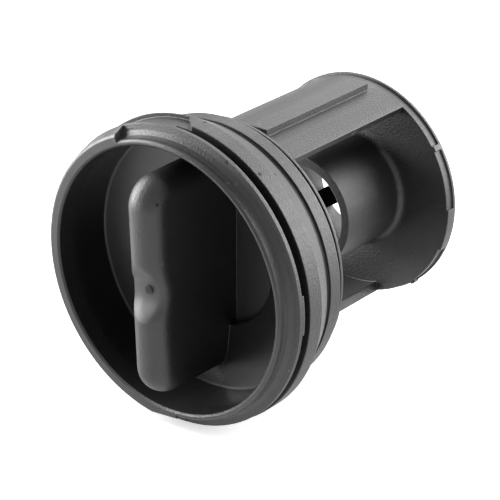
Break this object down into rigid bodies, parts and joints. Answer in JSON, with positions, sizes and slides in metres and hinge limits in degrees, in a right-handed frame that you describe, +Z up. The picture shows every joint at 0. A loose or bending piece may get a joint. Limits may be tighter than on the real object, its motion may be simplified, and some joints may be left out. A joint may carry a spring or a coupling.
{
  "type": "lint filter",
  "caption": "Screw-in drain-pump lint filter: a flanged cap with a finger grip in its cup and an open barrel round an outlet tube, moulded in black plastic.",
  "frame": {"origin": "on the filter's axis, in the middle of the plain ring that seats in the pump housing", "axes": "+Y along the axis towards the pump, +Z up with the grip upright, +X to the right seen from the cap"},
  "size_m": [0.066, 0.0751, 0.066],
  "materials": {
    "black_polypropylene": "satin, injection moulded"
  },
  "bodies": {
    "root": {"filter_body": "black_polypropylene"}
  },
  "joints": []
}
